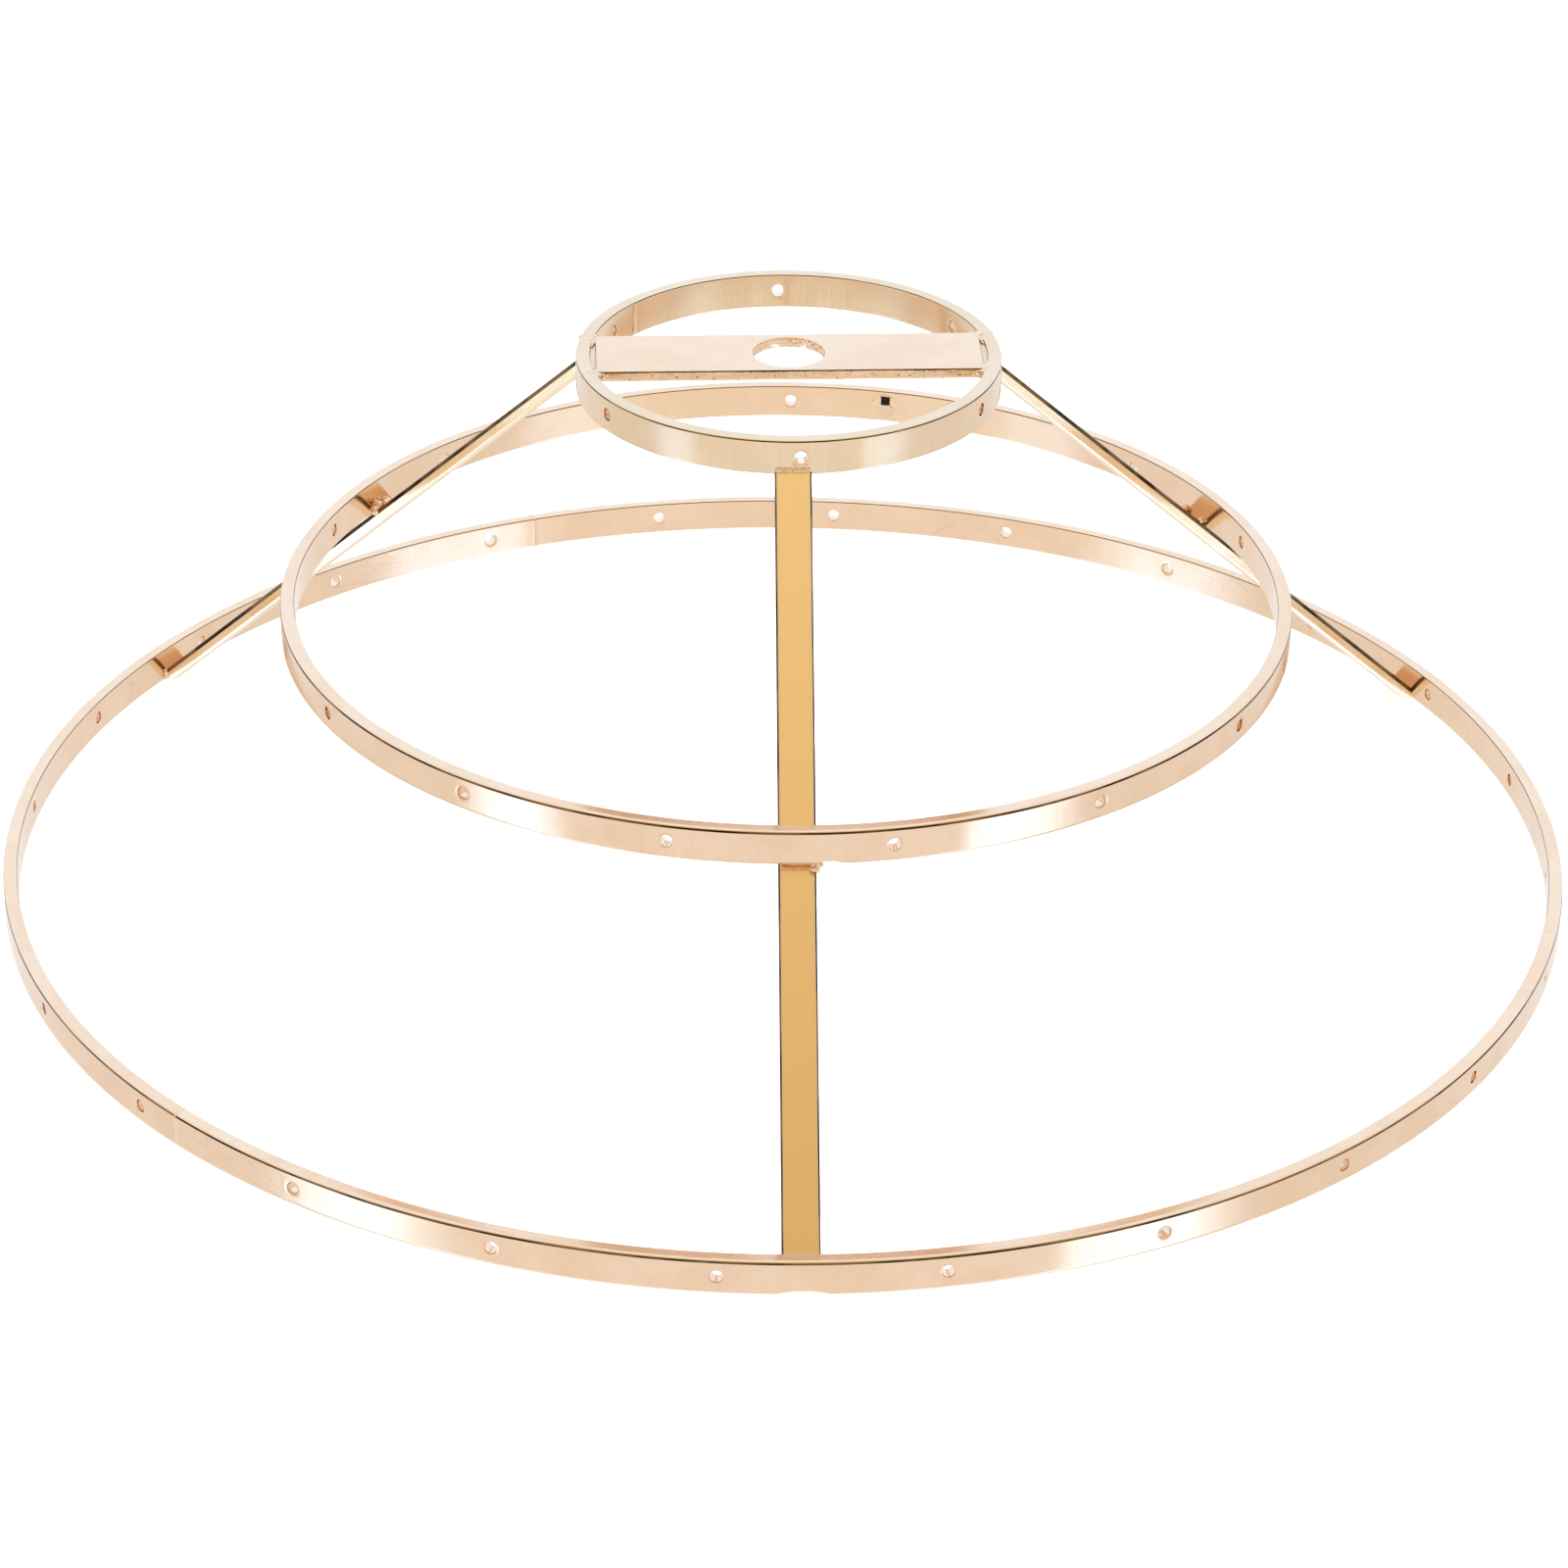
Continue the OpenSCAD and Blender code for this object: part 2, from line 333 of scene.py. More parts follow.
def painted_edge_reflection():
    # Painted reflection along the rounded edges: a fine uneven dark line that stands in for a dark room
    # mirrored in them
    return plated_steel("painted_dark_edge_reflection", linear("#221811"), linear("#846A50"),
                        (3.0, 0.3, 0.3), 0.2, brush=0.3)


def drilled_plating(colours):
    # Champagne plating in a drilled hole: rings left by the drill
    return plated_steel("drilled_champagne_plating", linear("#F3DCC6"), colours.champagne,
                        (0.6, 0.1, 0.6), 0.12, brush=0.12)


def flat_plating(colours):
    # Champagne plating over flat plate: smooth, with the faintest rolling lines
    return plated_steel("flat_champagne_plating", colours.champagne, colours.champagne_deep,
                        (5.0, 0.4, 0.4), 0.16, brush=0.06)


def weld_plating(colours):
    # Champagne plating over weld metal: glossy lumps with small dark pits
    return plated_steel("weld_champagne_plating", colours.champagne, colours.champagne_deep,
                        (0.5, 0.5, 0.5), 0.07, dents=0.3, pits=0.7, brush=0.1)


def pit_oxide():
    # Dark scale down in a pit that the plating didn't reach
    return plated_steel("dark_pit_oxide", linear("#4A4540"), linear("#2B2724"),
                        (0.3, 0.3, 0.3), 0.35, dents=0.4, brush=0.5)


# ---------------------------------------------------------------- meshes


def mesh_piece(name, bm, smooth=True):
    """A new object at the origin from a bmesh, faces outwards."""
    bmesh.ops.remove_doubles(bm, verts=bm.verts, dist=0.001 * MM)
    bmesh.ops.recalc_face_normals(bm, faces=bm.faces)
    mesh = bpy.data.meshes.new(name)
    bm.to_mesh(mesh)
    bm.free()
    piece = bpy.data.objects.new(name, mesh)
    bpy.context.scene.collection.objects.link(piece)
    for face in mesh.polygons:
        face.use_smooth = smooth
    return piece


def hand_over(piece, slot, *nodes):
    """The piece stands for its CAD nodes, which it hides, and joins the body; the slot is not used."""
    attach(piece, BODY)
    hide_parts(*nodes)


def bar_profile(sizes, outer):
    """Points round the flat bar's section as (through, up), and which faces carry the painted dark reflection
    lines.
    """
    half, width, inner = sizes.bar_thickness / 2, sizes.bar_width, sizes.inner_edge

    def wall(edge):
        """Levels up a wall: held flat beside the edges, and even over the drilled window."""
        window = [width / 2 + WINDOW * k / 2 for k in range(-2, 3)]
        return [edge, edge + 0.12 * MM, *window, width - edge - 0.12 * MM, width - edge]

    def corner(y, z, edge, start, steps=5):
        return [(y + edge * math.cos(math.radians(start + 90 * k / steps)),
                 z + edge * math.sin(math.radians(start + 90 * k / steps))) for k in range(1, steps)]

    across = [half - outer, half - outer - 0.1 * MM, inner + 0.1 * MM - half, inner - half]
    points = [(half, z) for z in wall(outer)]
    points += corner(half - outer, width - outer, outer, 0)
    # The painted dark reflection lines run along the two faces of each upper rounding that are nearest its
    # wall
    lines = {len(points) - 5, len(points) - 4}
    points += [(y, width) for y in across]
    points += corner(inner - half, width - inner, inner, 90)
    lines |= {len(points) - 3, len(points) - 2}
    points += [(-half, z) for z in reversed(wall(inner))]
    points += corner(inner - half, inner, inner, 180)
    points += [(y, 0.0) for y in reversed(across)]
    points += corner(half - outer, outer, outer, 270)
    return points, lines


def strip(bm, rings, layer="", marked=()):
    """Faces between neighbouring loops of vertices, those at the marked places noted in a layer."""
    mark = bm.faces.layers.int.get(layer) if layer else None
    for first, second in zip(rings, rings[1:]):
        count = len(first)
        for k in range(count):
            n = (k + 1) % count
            face = bm.faces.new((first[k], first[n], second[n], second[k]))
            if k in marked:
                face[mark] = 1


def stock(name, bm):
    """A piece of bar stock for the rolling tree, kept out of the scene."""
    mesh = bpy.data.meshes.new(name)
    bm.to_mesh(mesh)
    bm.free()
    return bpy.data.objects.new(name, mesh)


def plain_span(points, lines, columns):
    """A bar one unit long between two holes."""
    bm = bmesh.new()
    bm.faces.layers.int.new("edge_line")
    rings = [[bm.verts.new((i / columns, y, z)) for y, z in points] for i in range(columns + 1)]
    strip(bm, rings, "edge_line", lines)
    return stock("plain_span", bm)


def bar_end(sizes, points, lines, nose):
    """The last of the bar, its cut end eased, facing -X."""
    bm = bmesh.new()
    bm.faces.layers.int.new("edge_line")
    centre = sizes.bar_width / 2

    def loop(x, inset):
        found = []
        for y, z in points:
            away = Vector((y, z - centre))
            scale_y = 1 - inset / (sizes.bar_thickness / 2)
            scale_z = 1 - inset / centre
            found.append(bm.verts.new((x, away.x * scale_y, centre + away.y * scale_z)))
        return found

    rings = [loop(nose, 0.0), loop(nose * 0.3, 0.3 * nose), loop(0.0, nose), loop(0.0, 0.5 * MM)]
    strip(bm, rings, "edge_line", lines)
    bm.faces.new(rings[-1])
    return stock("bar_end", bm)


def drilled_patch(sizes, points, lines):
    """A short length of bar with one hanging hole through it, its rim eased."""
    bm = bmesh.new()
    bm.faces.layers.int.new("edge_line")
    bm.faces.layers.int.new("drilled")
    mark = bm.faces.layers.int.get("edge_line")
    half, middle, window = sizes.bar_thickness / 2, sizes.bar_width / 2, WINDOW
    steps = [-window + window * k / 2 for k in range(5)]
    grid = [[bm.verts.new((x, y, z)) for y, z in points] for x in steps]

    def in_window(k):
        y, z = points[k]
        n = (k + 1) % len(points)
        y2, z2 = points[n]
        on_wall = abs(abs(y) - half) < NEAR and y == y2
        return on_wall and max(abs(z - middle), abs(z2 - middle)) <= window + NEAR

    for a, b in zip(grid, grid[1:]):
        for k in range(len(points)):
            if not in_window(k):
                n = (k + 1) % len(points)
                face = bm.faces.new((a[k], a[n], b[n], b[k]))
                face[mark] = 1 if k in lines else 0
    count = 32
    rim, ease = sizes.hole_d / 2, 0.09 * MM
    tunnels = []
    for side in (1, -1):
        border = [v for loop in grid for v in loop
                  if abs(v.co.y - side * half) < NEAR and abs(v.co.z - middle) <= window + NEAR
                  and max(abs(v.co.x), abs(v.co.z - middle)) > window - NEAR]
        border.sort(key=lambda v: math.atan2(v.co.z - middle, v.co.x) % (2 * math.pi))
        loops = []
        for radius, depth in ((rim + 0.45 * MM, 0), (rim + ease, 0), (rim + ease * 0.35, ease * 0.3),
                              (rim, ease), (rim, 0.35 * MM)):
            loops.append([bm.verts.new((
                radius * math.cos(2 * math.pi * k / count), side * (half - depth),
                middle + radius * math.sin(2 * math.pi * k / count))) for k in range(count)])
        sides = len(border)
        for k in range(sides):
            n = (k + 1) % sides
            bm.faces.new((border[k], border[n],
                          loops[0][2 * n % count], loops[0][2 * k + 1], loops[0][2 * k]))
        strip(bm, loops[:3])
        strip(bm, loops[2:], "drilled", range(count))
        tunnels.append(loops[-1])
    strip(bm, tunnels, "drilled", range(count))
    return stock("drilled_patch", bm)


def store_place(piece, places):
    """Keeps where each vertex is along, through and across its bar, for the finish to follow."""
    layer = piece.data.attributes.new("bar_place", "FLOAT_VECTOR", "POINT")
    layer.data.foreach_set("vector", [c for place in places for c in place])


def rounded_section(width, thickness, edge, steps=4):
    """Points round a rounded bar section as (across, depth, finish of the part)."""
    points = []
    half = width / 2
    corners = ((half - edge, edge, 270), (half - edge, thickness - edge, 0),
               (-half + edge, thickness - edge, 90), (-half + edge, edge, 180))
    for number, (t, d, start) in enumerate(corners):
        for k in range(steps + 1):
            a = math.radians(start + 90 * k / steps)
            part = SIDE
            if number in (0, 3):
                part = WIDE if k == (0 if number == 0 else steps) else PAINTED_LINE
            points.append((t + edge * math.cos(a), d + edge * math.sin(a), part))
        if number % 2 == 0:
            # Two levels down the narrow side, the upper one where the painted dark reflection line ends
            sign = 1 if number == 0 else -1
            for share, part in ((0.16, PAINTED_LINE), (0.92, SIDE))[::sign]:
                points.append((sign * half, edge + (thickness - 2 * edge) * share, part))
        else:
            # Lines along the wide face keep it flat up to its edges
            sign = -1 if number == 1 else 1
            depth = thickness if number == 1 else 0.0
            for share in (-0.95, -0.3, 0.3, 0.95):
                points.append((sign * share * (half - edge), depth, WIDE))
    return points


def add_balls(bm, balls, subdivisions=2):
    """Balls given as (centre, radius) or (centre, radius, how flat)."""
    for centre, radius, *flat in balls:
        made = bmesh.ops.create_icosphere(bm, subdivisions=subdivisions, radius=radius)
        bmesh.ops.scale(bm, verts=made["verts"], vec=(1, 1, flat[0] if flat else 1))
        bmesh.ops.translate(bm, verts=made["verts"], vec=centre)


def lumps(name, balls, seed, roughness=0.10 * MM, voxel=0.09 * MM):
    """One lump of weld metal grown over balls, its skin uneven."""
    bm = bmesh.new()
    add_balls(bm, balls, 3)
    mesh = bpy.data.meshes.new(name + "_balls")
    bm.to_mesh(mesh)
    bm.free()
    maker = bpy.data.objects.new(name + "_balls", mesh)
    bpy.context.scene.collection.objects.link(maker)
    remesh = maker.modifiers.new("fuse", "REMESH")
    remesh.mode = "VOXEL"
    remesh.voxel_size = voxel
    smooth = maker.modifiers.new("flow", "SMOOTH")
    smooth.factor, smooth.iterations = 0.5, 3
    bpy.context.view_layer.update()
    fused = bpy.data.meshes.new_from_object(maker.evaluated_get(bpy.context.evaluated_depsgraph_get()))
    bpy.data.objects.remove(maker)
    bm = bmesh.new()
    bm.from_mesh(fused)
    bm.normal_update()
    offset = Vector((seed * 3.1, seed * 1.7, seed * 5.3))
    for vertex in bm.verts:
        wide = noise.noise(vertex.co * (0.9 / MM) + offset)
        fine = noise.noise(vertex.co * (2.6 / MM) + offset)
        pit = max(0.0, noise.noise(vertex.co * (1.7 / MM) - offset) - 0.42)
        vertex.co += vertex.normal * (roughness * (wide + 0.35 * fine) - pit * 1.1 * MM)
    piece = mesh_piece(name, bm)
    store_place(piece, [v.co for v in piece.data.vertices])
    return piece


def bead(start, end, radius, count, seed):
    """Balls along a line, a little uneven, as a bead laid by hand."""
    balls = []
    for k in range(count):
        share = k / (count - 1)
        wobble = noise.noise(Vector((share * 9.0, seed, 0.0)))
        balls.append((start.lerp(end, share), radius * (0.92 + 0.16 * wobble)))
    return balls


def turned(direction, radius, across, height):
    """A point at a radius and height, across from the line in a direction."""
    a = math.radians(direction)
    return Vector((
        radius * math.cos(a) - across * math.sin(a), radius * math.sin(a) + across * math.cos(a), height))


def blobs(direction, radius, height, spots):
    """Balls given in millimetres as (outwards, across, up, size) from a point at a radius and height."""
    return [(turned(direction, radius + out * MM, across * MM, height + up * MM), size * MM)
            for out, across, up, size in spots]


# ---------------------------------------------------------------- rolled bars


def rolling_tree():
    """Geometry nodes that drill a straight bar at an even pitch and roll it on edge round the axis."""
    tree = bpy.data.node_groups.get("roll_drilled_bar")
    if tree:
        return tree
    tree = bpy.data.node_groups.new("roll_drilled_bar", "GeometryNodeTree")
    sockets = {
        "NodeSocketObject": ("Plain Span", "Drilled Patch", "Bar End"),
        "NodeSocketFloat": (
            "Outside Radius", "Lower Edge", "Thickness", "Start Angle", "Length", "Nose", "First Hole",
            "Pitch", "Patch Length", "Hollow Place", "Hollow Width", "Hollow Height", "Waviness", "Seed",
            "Bar Width", "Outer Edge", "Edge Wear"),
        "NodeSocketInt": ("Holes",),
        "NodeSocketMaterial": ("Finish", "Drilled Finish", "Painted Edge Reflection"),
    }
    for kind, names in sockets.items():
        for name in names:
            tree.interface.new_socket(name, in_out="INPUT", socket_type=kind)
    tree.interface.new_socket("Geometry", in_out="OUTPUT", socket_type="NodeSocketGeometry")
    given = tree.nodes.new("NodeGroupInput").outputs
    index = add(tree, "GeometryNodeInputIndex")

    # Where hole number i is along the bar
    hole_x = add(tree, "ShaderNodeMath", {
        0: index, 1: given["Pitch"], 2: given["First Hole"]}, operation="MULTIPLY_ADD")
    half_patch = add(tree, "ShaderNodeMath", {0: given["Patch Length"], 1: 0.5}, operation="MULTIPLY")
    last_x = add(tree, "ShaderNodeMath", {0: given["Length"], 1: given["Nose"]}, operation="SUBTRACT")
    span_start = add(tree, "ShaderNodeMath", {
        0: given["Nose"],
        1: add(tree, "ShaderNodeMath", {
            0: add(tree, "ShaderNodeMath", {0: hole_x, 1: given["Pitch"]}, operation="SUBTRACT"),
            1: half_patch}, operation="ADD")}, operation="MAXIMUM")
    span_end = add(tree, "ShaderNodeMath", {
        0: last_x, 1: add(tree, "ShaderNodeMath", {0: hole_x, 1: half_patch}, operation="SUBTRACT")},
        operation="MINIMUM")
    span_length = add(tree, "ShaderNodeMath", {0: span_end, 1: span_start}, operation="SUBTRACT")
    span_count = add(tree, "ShaderNodeMath", {0: given["Holes"], 1: 1.0}, operation="ADD")
    end_x = add(tree, "ShaderNodeMath", {0: index, 1: given["Length"]}, operation="MULTIPLY")
    # The far end is the near end mirrored
    mirror = add(tree, "ShaderNodeMath", {0: index, 1: -2.0, 2: 1.0}, operation="MULTIPLY_ADD")

    joined = tree.nodes.new("GeometryNodeJoinGeometry")
    for part, count, start, stretch in (
        ("Plain Span", span_count, span_start, span_length),
        ("Drilled Patch", given["Holes"], hole_x, 1.0),
        ("Bar End", 2, end_x, mirror),
    ):
        points = add(tree, "GeometryNodeSetPosition", {
            "Geometry": add(tree, "GeometryNodeMeshLine", {"Count": count}),
            "Position": add(tree, "ShaderNodeCombineXYZ", {0: start})})
        lengths = add(tree, "GeometryNodeInstanceOnPoints", {
            "Points": points,
            "Instance": add(tree, "GeometryNodeObjectInfo", {"Object": given[part]}).outputs["Geometry"],
            "Scale": add(tree, "ShaderNodeCombineXYZ", {0: stretch, 1: 1.0, 2: 1.0})})
        tree.links.new(lengths.outputs[0], joined.inputs[0])
    bar = add(tree, "GeometryNodeMergeByDistance", {
        "Geometry": add(tree, "GeometryNodeRealizeInstances", {"Geometry": joined}),
        "Distance": 0.004 * MM})

    # The finish follows the straight bar
    straight = add(tree, "GeometryNodeInputPosition")
    bar = add(tree, "GeometryNodeStoreNamedAttribute", {
        "Geometry": bar, "Name": "bar_place", "Value": add(tree, "ShaderNodeVectorMath", {
            0: straight, 1: add(tree, "ShaderNodeCombineXYZ", {0: given["Seed"]})}, operation="ADD")},
        data_type="FLOAT_VECTOR", domain="POINT")
    along, through, above = add(tree, "ShaderNodeSeparateXYZ", {0: straight}).outputs
    angle = add(tree, "ShaderNodeMath", {
        0: given["Start Angle"],
        1: add(tree, "ShaderNodeMath", {0: along, 1: given["Outside Radius"]}, operation="DIVIDE")},
        operation="ADD")
    cosine = add(tree, "ShaderNodeMath", {0: angle}, operation="COSINE")
    sine = add(tree, "ShaderNodeMath", {0: angle}, operation="SINE")
    # Slight unevenness of hand rolling, inwards only
    wave = add(tree, "ShaderNodeTexNoise", {
        "Vector": add(tree, "ShaderNodeCombineXYZ", {
            0: along, 1: given["Seed"],
            2: add(tree, "ShaderNodeMath", {0: above, 1: 0.8}, operation="MULTIPLY")}),
        "Scale": 55.0, "Detail": 1.0})
    inset = add(tree, "ShaderNodeMath", {0: wave, 1: given["Waviness"]}, operation="MULTIPLY")
    # The rounding of the upper outer edge is worn flatter in some places than in others
    wear = add(tree, "ShaderNodeTexNoise", {
        "Vector": add(tree, "ShaderNodeCombineXYZ", {0: along, 2: given["Seed"]}),
        "Scale": 70.0, "Detail": 2.0})
    half_thick = add(tree, "ShaderNodeMath", {0: given["Thickness"], 1: 0.5}, operation="MULTIPLY")
    at_wall = add(tree, "ShaderNodeMapRange", {
        0: through, 2: half_thick,
        1: add(tree, "ShaderNodeMath", {0: half_thick, 1: given["Outer Edge"]}, operation="SUBTRACT")})
    at_top = add(tree, "ShaderNodeMapRange", {
        0: above, 2: given["Bar Width"],
        1: add(tree, "ShaderNodeMath", {
            0: given["Bar Width"], 1: given["Outer Edge"]}, operation="SUBTRACT")})
    worn = add(tree, "ShaderNodeMath", {
        0: add(tree, "ShaderNodeMath", {
            0: add(tree, "ShaderNodeMath", {0: wear, 1: 0.5}, operation="SUBTRACT"), 1: given["Edge Wear"]},
            operation="MULTIPLY"),
        1: add(tree, "ShaderNodeMath", {
            0: add(tree, "ShaderNodeMath", {0: at_wall, 1: at_top}, operation="MULTIPLY"),
            1: given["Outer Edge"]}, operation="MULTIPLY")}, operation="MULTIPLY")
    radius = add(tree, "ShaderNodeMath", {
        0: add(tree, "ShaderNodeMath", {
            0: add(tree, "ShaderNodeMath", {
                0: given["Outside Radius"], 1: half_thick}, operation="SUBTRACT"),
            1: through}, operation="ADD"),
        1: add(tree, "ShaderNodeMath", {0: inset, 1: worn}, operation="ADD")}, operation="SUBTRACT")
    # Hollow in the lower edge
    off = add(tree, "ShaderNodeMath", {
        0: add(tree, "ShaderNodeMath", {0: along, 1: given["Hollow Place"]}, operation="SUBTRACT"),
        1: given["Hollow Width"]}, operation="DIVIDE")
    bell = add(tree, "ShaderNodeMath", {
        0: add(tree, "ShaderNodeMath", {
            0: add(tree, "ShaderNodeMath", {
                0: add(tree, "ShaderNodeMath", {0: off}, operation="ABSOLUTE"), 1: 4.0}, operation="POWER"),
            1: -1.0}, operation="MULTIPLY")}, operation="EXPONENT")
    low = add(tree, "ShaderNodeMapRange", {0: above, 1: 0.0, 2: 1.5 * MM, 3: 1.0, 4: 0.0})
    lift = add(tree, "ShaderNodeMath", {
        0: add(tree, "ShaderNodeMath", {0: bell, 1: low}, operation="MULTIPLY"),
        1: given["Hollow Height"]}, operation="MULTIPLY")
    up = add(tree, "ShaderNodeMath", {
        0: add(tree, "ShaderNodeMath", {0: above, 1: given["Lower Edge"]}, operation="ADD"),
        1: add(tree, "ShaderNodeMath", {0: lift, 1: worn}, operation="SUBTRACT")}, operation="ADD")
    bar = add(tree, "GeometryNodeSetPosition", {
        "Geometry": bar,
        "Position": add(tree, "ShaderNodeCombineXYZ", {
            0: add(tree, "ShaderNodeMath", {0: radius, 1: cosine}, operation="MULTIPLY"),
            1: add(tree, "ShaderNodeMath", {0: radius, 1: sine}, operation="MULTIPLY"),
            2: up})})
    bar = add(tree, "GeometryNodeSetShadeSmooth", {"Geometry": bar})
    bar = add(tree, "GeometryNodeSetMaterial", {"Geometry": bar, "Material": given["Finish"]})
    # The painted dark reflection lines take their own material, as do the drilled walls
    for mark, finish in (("edge_line", "Painted Edge Reflection"), ("drilled", "Drilled Finish")):
        marked = add(tree, "GeometryNodeInputNamedAttribute", {"Name": mark}, data_type="INT")
        bar = add(tree, "GeometryNodeSetMaterial", {
            "Geometry": bar, "Selection": marked, "Material": given[finish]})
    out = tree.nodes.new("NodeGroupOutput")
    tree.links.new(bar.outputs[0], out.inputs[0])
    return tree


def roll_bar(name, values):
    """One rolled bar as a plain mesh at the origin."""
    tree = rolling_tree()
    maker = bpy.data.objects.new(name + "_maker", bpy.data.meshes.new(name + "_maker"))
    bpy.context.scene.collection.objects.link(maker)
    modifier = maker.modifiers.new("roll", "NODES")
    modifier.node_group = tree
    for item in tree.interface.items_tree:
        if item.in_out == "INPUT":
            modifier[item.identifier] = values[item.name]
    bpy.context.view_layer.update()
    mesh = bpy.data.meshes.new_from_object(maker.evaluated_get(bpy.context.evaluated_depsgraph_get()))
    bpy.data.objects.remove(maker)
    bm = bmesh.new()
    bm.from_mesh(mesh)
    bmesh.ops.recalc_face_normals(bm, faces=bm.faces)
    bm.to_mesh(mesh)
    bm.free()
    mesh.name = name
    piece = bpy.data.objects.new(name, mesh)
    bpy.context.scene.collection.objects.link(piece)
    return piece


class RollRings(bpy.types.Operator):
    """Roll the drilled flat bars into the three rings"""

    bl_idname = "ring_frame.roll_rings"
    bl_label = "Roll Rings"

    def execute(self, context):
        sizes, colours = context.scene.ring_frame_sizes, context.scene.ring_frame_colours
        stocks = {}
        for ring in HOLE_PITCH:
            points, lines = bar_profile(sizes, outer_edge(sizes, ring))
            stocks[ring] = (plain_span(points, lines, 30), drilled_patch(sizes, points, lines),
                            bar_end(sizes, points, lines, CUT_EASE))
        finishes = {"bottom": scratched_plating(colours), "middle": rolled_plating(colours),
                    "top": brushed_plating()}
        for number, (name, (ring, start, stop, first, holes)) in enumerate(BARS.items()):
            radius = ring_radius(sizes, ring)
            begin = math.radians(start) + sizes.joint_width / 2 / radius
            direction, width, height = HOLLOWS.get(name, (0.0, 1.0, 0.0))
            span, patch, end = stocks[ring]
            piece = roll_bar(name + "_bar", {
                "Plain Span": span, "Drilled Patch": patch, "Bar End": end, "Bar Width": sizes.bar_width,
                "Outer Edge": outer_edge(sizes, ring), "Edge Wear": 0.9,
                "Outside Radius": radius, "Lower Edge": lower_edge(ring), "Thickness": sizes.bar_thickness,
                "Start Angle": begin, "Length": math.radians(stop - start) * radius - sizes.joint_width,
                "Nose": CUT_EASE, "First Hole": (math.radians(first) - begin) * radius,
                "Pitch": math.radians(HOLE_PITCH[ring]) * radius, "Patch Length": 2 * WINDOW, "Holes": holes,
                "Hollow Place": (math.radians(direction) - begin) * radius,
                "Hollow Width": width * MM, "Hollow Height": height * MM,
                "Waviness": 0.05 * MM, "Seed": 1.7 * (number + 1),
                "Finish": finishes[ring],
                "Drilled Finish": drilled_plating(colours),
                # Painted dark reflection line along the rounded edges
                "Painted Edge Reflection": painted_edge_reflection(),
            })
            hand_over(piece, "ring_plating", name)
        return {"FINISHED"}


